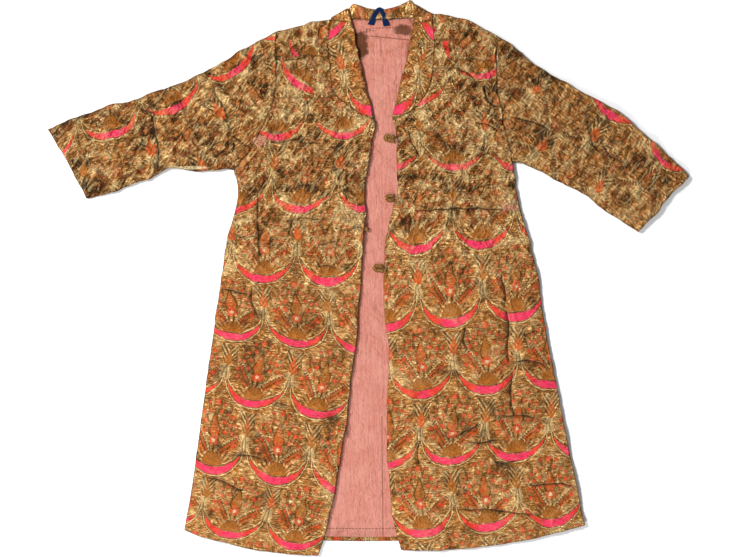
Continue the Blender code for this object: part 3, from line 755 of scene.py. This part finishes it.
def lining_silk():
    """Thin pink silk, puckered lengthways, soiled at the neck and stitched along its hem."""
    recipe = Recipe("pink lining silk")
    noise_at = recipe.noise
    paint = colours()
    across, up, _ = recipe.place()
    _, _, edge = recipe.place(FOLD_NAME)
    here = (across, up, 0.0)
    patches = noise_at(here, 0.02, 4, 0.6)
    threads = noise_at((across / 1.2, up / 9, 0.0), roughness=0.6)
    puckers = noise_at((across / 7, up / 60, 0.0), detail=3, roughness=0.6, distortion=0.6)
    cross_puckers = noise_at((across / 22, up / 6, 0.0), detail=3, roughness=0.6, distortion=0.8)
    wrinkles = noise_at(here, 0.045, 4, 0.62, 1.2)
    fine_stain = noise_at(here, 0.05, 4, 0.7)
    neck = up.between(330, 540)
    soiled = (fine_stain + neck * 0.12).between(0.56, 0.72)
    colour = recipe.layers(
        paint.lining,
        (patches.between(0.35, 0.65) * 0.5, paint.lining_light),
        (threads * 0.14, paint.lining_stain_and_shade),
        (soiled * (0.25 + neck * 0.4), paint.lining_stain_and_shade),
    )
    for stain in LINING_STAINS:
        inside = (patch_out(across, up, stain) + (fine_stain - 0.5) * 1.6).fading(0.7, 1.15)
        colour = recipe.mix(inside * 0.96 * stain.share, colour, paint.lining_soil)
    # A thin line of painted shade along the lining's creases
    crease = wrinkles.between(0.485, 0.50) * (0 - wrinkles).between(-0.515, -0.50)
    stitches = ring(edge, STITCHES_IN, 0.8) * ((across * 0.9).sine() > -0.4)
    neck_seam = (up - 508 + across * 0.1).size() < 0.8
    skirt_seam = ((across - 24 + up * 0.01).size() < 0.7) * (up < -290)
    seam = neck_seam.at_least(skirt_seam)
    colour = recipe.layers(
        colour,
        (crease * 0.12, paint.lining_stain_and_shade),
        (stitches * 0.7, paint.lining_soil),
        (seam * 0.6, paint.lining_soil),
    )
    height = puckers * 0.8 + cross_puckers * 0.4 + wrinkles * 1.6 + threads * 0.06
    height = height - seam * 0.2 - stitches * 0.2
    shine = {"Sheen_Weight": 0.04, "Specular_IOR_Level": 0.12}
    return recipe.finish(colour, 0.6 + patches * 0.2, 0.0, height, relief=0.0032, **shine)


def ribbon_tape():
    """Dark blue woven tape with fine ribs across it."""
    recipe = Recipe("blue tape")
    paint = colours()
    across, up, _ = recipe.place()
    ribs = ((across + up * 0.6) * 4.2).sine()
    fuzz = recipe.noise((across, up, 0.0), 0.9, detail=3, roughness=0.6)
    height = ribs * 0.5 + fuzz
    # Lighter where the ribs stand high, a painted highlight
    colour = recipe.mix(height.between(0.2, 1.1) * 0.6, paint.ribbon, paint.ribbon_highlight)
    return recipe.finish(colour, 0.7, 0.0, height, relief=0.0005, Specular_IOR_Level=0.1)


def rolled_brocade():
    """The brocade rolled into a cord, its weft running round in a slant."""
    recipe = Recipe("rolled brocade")
    paint = colours()
    across, up, level = recipe.place()
    slant = ((across + up * 0.55 + level * 0.8) * 1.7).sine()
    fuzz = recipe.noise((across, up, level), 0.6, detail=3, roughness=0.6)
    height = slant * 0.4 + fuzz
    # Gold on the slant's ridges and dark brown in its grooves: partly the brocade's own colours, partly
    # painted shade in the grooves
    colour = recipe.mix(height.between(0.4, 1.1), paint.leaf, paint.gold)
    # Pale speckles, painted glints
    colour = recipe.mix(fuzz.between(0.52, 0.62) * 0.5, colour, paint.pale_gold)
    return recipe.finish(colour, 0.5, 0.25, height, relief=0.0016, Specular_IOR_Level=0.2)


def floor_paper():
    """A smooth pale surface."""
    recipe = Recipe("pale floor")
    across, up, _ = recipe.place()
    mottle = recipe.noise((across, up, 0.0), 0.004)
    return recipe.finish(recipe.mix(mottle * 0.3, colours().floor, colours().floor_shade), 0.9)


# How close points are joined, and how far faces may turn where triangles are joined to four-sided faces
JOIN_DISTANCE = 1e-5
JOIN_TURN = math.radians(35)
JOIN_SHAPE = math.radians(75)
# How far faces turn at an edge that stays sharp when divided, and at one that is shaded sharp
CREASED_EDGE = math.radians(50)
SHARP_EDGE = math.radians(60)
# The upward share of a face's normal above which it looks up, and below which it stands on edge
FACES_UP = 0.5
STANDS_UP = 0.25


def fine_copy(node, name, levels):
    """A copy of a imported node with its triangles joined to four-sided faces and divided finely."""
    shape = bmesh.new()
    shape.from_mesh(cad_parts[node].data)
    bmesh.ops.remove_doubles(shape, verts=shape.verts, dist=JOIN_DISTANCE)
    bmesh.ops.join_triangles(
        shape, faces=shape.faces, angle_face_threshold=JOIN_TURN, angle_shape_threshold=JOIN_SHAPE
    )
    sharp = shape.edges.layers.float.new("crease_edge")
    for edge in shape.edges:
        if len(edge.link_faces) == 2 and edge.calc_face_angle(0) > CREASED_EDGE:
            edge[sharp] = 1.0
    mesh = bpy.data.meshes.new(name)
    shape.to_mesh(mesh)
    shape.free()
    rough = bpy.data.objects.new(name + "_rough", mesh)
    bpy.context.scene.collection.objects.link(rough)
    divide = rough.modifiers.new("divide", "SUBSURF")
    divide.levels = levels
    divide.render_levels = levels
    solved = rough.evaluated_get(bpy.context.evaluated_depsgraph_get())
    fine = bpy.data.meshes.new_from_object(solved)
    bpy.data.objects.remove(rough)
    fine.name = name
    return fine


def divide_upper(mesh):
    """Divides the faces that look up once more, so that creases are finest where they show."""
    shape = bmesh.new()
    shape.from_mesh(mesh)
    shape.normal_update()
    edges = [edge for edge in shape.edges if any(face.normal.z > FACES_UP for face in edge.link_faces)]
    bmesh.ops.subdivide_edges(shape, edges=edges, cuts=1, use_grid_fill=True)
    shape.to_mesh(mesh)
    shape.free()


def points_of(mesh):
    flat = np.empty(len(mesh.vertices) * 3, np.float32)
    mesh.vertices.foreach_get("co", flat)
    return flat.reshape(-1, 3).astype(float) * (1 / MM)


def set_points(mesh, points):
    mesh.vertices.foreach_set("co", (points * MM).astype(np.float32).ravel())
    mesh.update()


def along_crease(points, crease):
    """How far along a crease each point lies, how far aside of it, and the crease's length."""
    start, end = sorted(((crease.x, crease.y), (crease.end_x, crease.end_y)))
    start, end = np.array(start, float), np.array(end, float)
    length = float(np.hypot(*(end - start)))
    ahead = (end - start) / length
    offset = points[:, :2] - start
    return offset @ ahead, offset[:, 1] * ahead[0] - offset[:, 0] * ahead[1], length


def crease_bend(share, crease, number):
    """How far aside a crease bends at this share of its length."""
    return np.sin(share * BEND_WAVE + number * BEND_PHASE) * crease.half_width * BEND_REACH


def crease_heights(points):
    """The height that the table of creases adds at each point."""
    total = np.zeros(len(points))
    for number, crease in enumerate(CREASES):
        along, aside, length = along_crease(points, crease)
        half_width = crease.half_width
        near = (along > -half_width) & (along < length + half_width) & (np.abs(aside) < 5 * half_width)
        share = np.clip(along[near] / length, 0, 1)
        bend = crease_bend(share, crease, number)
        width = half_width * (0.75 + 0.35 * np.sin(share * 7 + number * 2.3))
        profile = np.exp(-np.abs((aside[near] - bend) / width) ** 1.4)
        ends = np.clip(np.minimum(share, 1 - share) * 4.5, 0, 1)
        total[near] += crease.height * profile * ends * ends * (3 - 2 * ends)
    return total


def fold_lines(points):
    """How far aside of the nearest trough each point lies, signed by its side, and how deep it is there."""
    away = np.full(len(points), FOLD_REACH)
    depth = np.zeros(len(points))
    for number, crease in enumerate(CREASES):
        if crease.height > 0:
            continue
        along, aside, length = along_crease(points, crease)
        share = along / length
        aside = aside - crease_bend(share, crease, number)
        nearer = (share > 0) & (share < 1) & (np.abs(aside) < np.abs(away))
        taper = np.clip(np.minimum(share, 1 - share) * 5, 0, 1) * (1 - np.abs(aside) / FOLD_REACH)
        away = np.where(nearer, aside, away)
        depth = np.where(nearer, taper * -crease.height * 0.5, depth)
    return away, depth


def crumple_heights(points, seed):
    """Crumples at several sizes, sharp along their ridges."""
    total = np.zeros(len(points))
    for crumple in CRUMPLES:
        values = np.empty(len(points))
        for index, (x, y, _) in enumerate(points):
            across = x / (crumple.wavelength * crumple.stretch)
            place = Vector((across, y / crumple.wavelength, crumple.phase + seed))
            warp = noise.noise(place * 0.6 + WARP_AT)
            place += warp * CRUMPLE_WARP
            ridge = 1 - abs(noise.noise(place)) * 2.4
            fold = noise.noise(place * 0.9 + FOLD_AT)
            values[index] = ridge * ridge * ridge * 0.75 + fold * 0.8
        total += values * crumple.height
    return total


def sway(points):
    """Small shifts in plan that make edges and woven lines wander, the same on pieces that meet."""
    shift = np.zeros((len(points), 2))
    for wavelength, reach in SWAYS:
        for index, (x, y, _) in enumerate(points):
            place = Vector((x / wavelength, y / wavelength, wavelength))
            shift[index] += (noise.noise(place) * reach, noise.noise(place + SWAY_AT) * reach)
    return shift * roughness_share(points[:, 1])[:, None]


def painted_shade_share(points):
    """How much painted shade darkens the cloth at each point, painted light where below 0."""
    total = np.zeros(len(points))
    for place in PAINTED_SHADE_PLACES:
        away = np.hypot(points[:, 0] - place.x, points[:, 1] - place.y) / place.reach
        total += place.share * np.exp(-away * away)
    return total


def roughness_share(up):
    """How crumpled the robe is at this height up it."""
    share = np.clip((up - CALM_BELOW) / (ROUGH_ABOVE - CALM_BELOW), 0, 1)
    share = share * share * (3 - 2 * share)
    return CALM_SHARE + (ROUGH_SHARE - CALM_SHARE) * share


def turned(points, place):
    """How far each point lies across and above a place in the cloth, along the cloth's own threads."""
    sine, cosine = math.sin(math.radians(place.angle)), math.cos(math.radians(place.angle))
    away_x, away_y = points[:, 0] - place.x, points[:, 1] - place.y
    return away_x * cosine + away_y * sine, away_y * cosine - away_x * sine


def pattern_between(stops):
    """Each point's place in the woven pattern on its way from stop to stop, and aside of that way.

    A stop has its place on the way, how far past it each point lies, and how far aside.
    """
    place, past, aside = stops[0]
    onward = place + past
    beside = aside
    for (place, past, aside), (next_place, next_past, next_aside) in zip(stops, stops[1:]):
        share = np.clip(past / np.maximum(past - next_past, 1e-6), 0, 1)
        onward = np.where(past >= 0, place + share * (next_place - place), onward)
        beside = np.where(past >= 0, aside * (1 - share) + next_aside * share, beside)
    place, past, aside = stops[-1]
    return np.where(past >= 0, place + past, onward), np.where(past >= 0, aside, beside)


def pattern_by_rows(points, rows):
    """Where each point lies in the woven pattern, across and up, in millimetres of cloth."""
    stops = []
    for row in rows:
        across, above = turned(points, row)
        stops.append((row.row * REPEAT_UP, above, across + row.column * REPEAT_ACROSS))
    v, u = pattern_between(stops)
    return u, v


def pattern_by_columns(points, columns):
    """The same along a sleeve, from one crescent of a row to the next."""
    return pattern_between([(column.column * REPEAT_ACROSS, *turned(points, column)) for column in columns])


def pattern_place(points, node):
    """Where each point of this piece lies in the woven pattern."""
    if node in SLEEVE_ROWS:
        u, v = pattern_by_columns(points, SLEEVE_ROWS[node])
        for piecing in PIECINGS[node]:
            below = v < -piecing.below
            u, v = np.where(below, u + piecing.across * REPEAT_ACROSS, u), np.where(below, v + piecing.up, v)
        return u, v
    if node == "collar":
        u, v = pattern_by_rows(points, PATTERN_ROWS["collar_right"])
        left_u, left_v = pattern_by_rows(points, PATTERN_ROWS["collar_left"])
        on_left = points[:, 0] > COLLAR_MIDDLE
        u, v = np.where(on_left, left_u, u), np.where(on_left, left_v, v)
        behind = points[:, 1] > NECK_BAND_UP + NECK_BAND_RISE * np.abs(points[:, 0] - COLLAR_MIDDLE)
        neck_u = NECK_BAND_COLUMN + (points[:, 1] - NECK_BAND_UP) * NECK_BAND_STRETCH
        neck_v = NECK_BAND_BELOW - (points[:, 0] - COLLAR_MIDDLE) * NECK_BAND_STRETCH
        return np.where(behind, neck_u, u), np.where(behind, neck_v, v)
    u, v = pattern_by_rows(points, PATTERN_ROWS[node])
    for place in TURNED_PLACES.get(node, ()):
        across, above = turned(points, place)
        inside = (points[:, 0] > place.west) & (points[:, 0] < place.east)
        inside = inside & (points[:, 1] > place.south) & (points[:, 1] < place.north)
        u, v = np.where(inside, across, u), np.where(inside, above, v)
    return u, v


def edge_distances(mesh, points):
    """How far each point lies from its piece's nearest edge, in plan."""
    rim = {index for face in mesh.polygons if abs(face.normal.z) < STANDS_UP for index in face.vertices}
    tree = kdtree.KDTree(len(rim))
    for index in rim:
        tree.insert((points[index][0], points[index][1], 0), index)
    tree.balance()
    return np.array([tree.find((x, y, 0))[2] for x, y, _ in points])


def store_places(mesh, name, *columns):
    """Keeps three lengths in millimetres at each point of the mesh."""
    layer = mesh.attributes.new(name, "FLOAT_VECTOR", "POINT")
    values = (np.stack(columns, axis=1) * MM).astype(np.float32)
    layer.data.foreach_set("vector", values.ravel())


def finish_piece(mesh, name, material, node):
    """Turns a mesh into a finished piece that stands for its node."""
    mesh.materials.clear()
    mesh.materials.append(material)
    mesh.shade_smooth()
    mesh.set_sharp_from_angle(angle=SHARP_EDGE)
    made = bpy.data.objects.new(name, mesh)
    bpy.context.scene.collection.objects.link(made)
    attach(made, BODY)
    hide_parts(node)
    return made


# The crumpled pieces of brocade, one for each node. Levels is how often the mesh is divided, and refined says
# whether its upper side is divided once more. No crease takes the upper side below level. Creased is how
# strong the crumples are, gloom how much painted shade darkens the cloth, painted light where below 0, and
# faded how much paler its flowers are.
BROCADE_PIECES = {
    row.node: row
    for row in table(
        "node name levels refined level wall seed creased gloom faded",
        [
            ("front_right", "right_front_cloth", 2, True, 6.0, 2.4, 1.0, 1.0, 0.0, 0.0),
            ("front_left", "left_front_cloth", 2, True, 6.0, 2.4, 23.0, 1.0, 0.0, 0.0),
            ("sleeve_right", "right_sleeve_cloth", 3, False, 5.6, 2.0, 71.0, 1.0, SLEEVE_PAINTED_SHADE, 0.3),
            ("sleeve_left", "left_sleeve_cloth", 3, False, 5.6, 2.0, 89.0, 0.8, SLEEVE_PAINTED_SHADE, 0.6),
            ("collar", "collar_cloth", 3, False, 6.2, 2.4, 101.0, 0.4, COLLAR_PAINTED_SHADE, 0.5),
        ],
    )
}
# Points of an under side lie below this height, and stay where they are.
UNDER_SIDE = 1.2


def brocade_piece(node):
    """A crumpled piece of brocade over its solid."""
    piece = BROCADE_PIECES[node]
    mesh = fine_copy(node, piece.name, piece.levels)
    if piece.refined:
        divide_upper(mesh)
    points = points_of(mesh)
    u, v = pattern_place(points, node)
    edge = edge_distances(mesh, points)
    rough = roughness_share(points[:, 1])
    creases = crease_heights(points) * CREASE_DEPTH
    strength = rough * cloth().crumple * piece.creased
    change = crumple_heights(points, piece.seed) * strength + creases + CLOTH_LOFT
    upper = points[:, 2] > piece.level - 0.45 * piece.wall
    lowest = np.minimum(points[:, 2], np.where(upper, piece.level, piece.level - piece.wall))
    moved = np.maximum(points[:, 2] + change, lowest)
    points[:, 2] = np.where(points[:, 2] < UNDER_SIDE, points[:, 2], moved)
    depth = CLOTH_LOFT + 0.4 - change + creases * 0.4
    # Painted shade from the piece, the table of places and the crumpled upper part, painted light where below
    # 0
    gloom = piece.gloom + painted_shade_share(points)
    gloom += UPPER_PAINTED_SHADE * (rough - CALM_SHARE) / (ROUGH_SHARE - CALM_SHARE)
    # Painted shade down in the troughs and painted highlights up on the ridges
    painted_shade_and_highlight = np.clip(depth * TROUGH_PAINTED_SHADE + gloom, 0, 1) - np.clip(-depth * RIDGE_PAINTED_HIGHLIGHT - 0.1 - gloom, 0, 1)
    store_places(mesh, MAP_NAME, u, v, painted_shade_and_highlight)
    store_places(mesh, FOLD_NAME, *fold_lines(points), edge)
    points[:, :2] += sway(points)
    set_points(mesh, points)
    material = brocade(piece.name.replace("_", " "), piece.seed, piece.creased, piece.faded)
    return finish_piece(mesh, piece.name, material, node)


class ROBE_OT_fronts(bpy.types.Operator):
    """Makes both fronts of crumpled brocade"""

    bl_idname = "robe.fronts"
    bl_label = "Fronts"

    def execute(self, context):
        right = brocade_piece("front_right")
        left = brocade_piece("front_left")
        return {"FINISHED"}


class ROBE_OT_back(bpy.types.Operator):
    """Makes the back of brocade and the lining inside it"""

    bl_idname = "robe.back"
    bl_label = "Back and lining"

    def execute(self, context):
        mesh = fine_copy("back_panel", "back_cloth", 2)
        points = points_of(mesh)
        u, v = pattern_place(points, "back_panel")
        flat = np.zeros(len(points))
        store_places(mesh, MAP_NAME, u, v, flat)
        store_places(mesh, FOLD_NAME, flat + FOLD_REACH, flat, edge_distances(mesh, points))
        back = finish_piece(mesh, "back_cloth", brocade("back cloth", 57.0, 0.5), "back_panel")
        mesh = fine_copy("back_lining", "lining_cloth", 2)
        points = points_of(mesh)
        flat = np.zeros(len(points))
        store_places(mesh, FOLD_NAME, flat, flat, edge_distances(mesh, points))
        lining = finish_piece(mesh, "lining_cloth", lining_silk(), "back_lining")
        return {"FINISHED"}


class ROBE_OT_sleeves(bpy.types.Operator):
    """Makes both sleeves, flat tubes of crumpled brocade"""

    bl_idname = "robe.sleeves"
    bl_label = "Sleeves"

    def execute(self, context):
        right = brocade_piece("sleeve_right")
        left = brocade_piece("sleeve_left")
        return {"FINISHED"}


class ROBE_OT_collar(bpy.types.Operator):
    """Makes the shawl collar"""

    bl_idname = "robe.collar"
    bl_label = "Collar"

    def execute(self, context):
        band = brocade_piece("collar")
        return {"FINISHED"}


class ROBE_OT_fastenings(bpy.types.Operator):
    """Makes the rolled loops, the cloth knot and the hanging ribbon"""

    bl_idname = "robe.fastenings"
    bl_label = "Loops, knot and ribbon"

    def execute(self, context):
        rolled = rolled_brocade()
        for node in ("button_loop_1", "button_loop_2", "button_loop_3", "button_knot"):
            mesh = fine_copy(node, node + "_cloth", 2)
            finish_piece(mesh, node + "_cloth", rolled, node)
        mesh = fine_copy("hanging_loop", "hanging_ribbon", 2)
        points = points_of(mesh)
        for foot in RIBBON_FEET:
            near = np.abs(points[:, 0] - foot) < RIBBON_FOOT_REACH
            below = np.clip((RIBBON_FOOT_TOP - points[:, 1]) / RIBBON_FOOT_REACH, 0, 1)
            spread = 1 + RIBBON_FOOT_SPREAD * below
            points[:, 0] = np.where(near, foot + (points[:, 0] - foot) * spread, points[:, 0])
        set_points(mesh, points)
        finish_piece(mesh, "hanging_ribbon", ribbon_tape(), "hanging_loop")
        return {"FINISHED"}


# The lights stand round the robe and look at its middle: which setting gives their power, and their place.
LIGHTS = [("key light", "key_light", (-2.6, 1.3, 3.2)), ("fill light", "fill_light", (-1.1, -2.6, 2.2))]
LIGHT_WIDTH = 0.9
SKY_COLOUR = (0.95, 0.97, 1.0, 1.0)
FLOOR_HALF_WIDTH = 6.0
FLOOR_BELOW = 0.0005
CAMERA_PLACE = (0.002, -0.001)
SENSOR_WIDTH = 36.0


def add_object(context, name, data):
    made = bpy.data.objects.new(name, data)
    context.scene.collection.objects.link(made)
    return made


class ROBE_OT_stage(bpy.types.Operator):
    """Makes the floor, the lights and the camera"""

    bl_idname = "robe.stage"
    bl_label = "Stage"

    def execute(self, context):
        settings = context.scene.robe_stage
        shape = bmesh.new()
        bmesh.ops.create_grid(shape, x_segments=4, y_segments=4, size=FLOOR_HALF_WIDTH)
        mesh = bpy.data.meshes.new("floor")
        shape.to_mesh(mesh)
        shape.free()
        mesh.materials.append(floor_paper())
        floor = add_object(context, "floor", mesh)
        floor.location.z = -FLOOR_BELOW

        world = bpy.data.worlds.new("studio")
        world.use_nodes = True
        sky = world.node_tree.nodes["Background"].inputs
        sky["Color"].default_value = SKY_COLOUR
        sky["Strength"].default_value = settings.sky
        context.scene.world = world

        for name, power, place in LIGHTS:
            light = bpy.data.lights.new(name, "AREA")
            light.energy = getattr(settings, power)
            light.size = LIGHT_WIDTH
            lamp = add_object(context, name, light)
            lamp.location = place
            lamp.rotation_euler = (-Vector(place)).to_track_quat("-Z", "Y").to_euler()

        view = bpy.data.cameras.new("camera")
        view.lens = settings.lens
        view.sensor_width = SENSOR_WIDTH
        camera = add_object(context, "camera", view)
        camera.location = (*CAMERA_PLACE, settings.camera_height)
        context.scene.camera = camera
        context.scene.view_settings.view_transform = "Standard"
        return {"FINISHED"}


OPERATORS = (ROBE_OT_back, ROBE_OT_fronts, ROBE_OT_sleeves, ROBE_OT_collar, ROBE_OT_fastenings, ROBE_OT_stage)
GROUPS = {"robe_cloth": RobeCloth, "robe_colours": RobeColours, "robe_stage": RobeStage}


class ROBE_PT_panel(bpy.types.Panel):
    """The robe's sizes, colours and pieces"""

    bl_idname = "ROBE_PT_panel"
    bl_label = "Robe"
    bl_space_type = "VIEW_3D"
    bl_region_type = "UI"
    bl_category = "Robe"

    def draw(self, context):
        for group in GROUPS:
            settings = getattr(context.scene, group)
            box = self.layout.box()
            for name in settings.__annotations__:
                box.prop(settings, name)
        for operator in OPERATORS:
            self.layout.operator(operator.bl_idname)


CLASSES = (*GROUPS.values(), *OPERATORS, ROBE_PT_panel)


def register():
    for item in CLASSES:
        bpy.utils.register_class(item)
    for name, group in GROUPS.items():
        setattr(bpy.types.Scene, name, bpy.props.PointerProperty(type=group))


def unregister():
    for name in GROUPS:
        delattr(bpy.types.Scene, name)
    for item in reversed(CLASSES):
        bpy.utils.unregister_class(item)


def main():
    register()
    for step in ("back", "fronts", "sleeves", "collar", "fastenings", "stage"):
        getattr(bpy.ops.robe, step)()


if __name__ == "__main__":
    main()
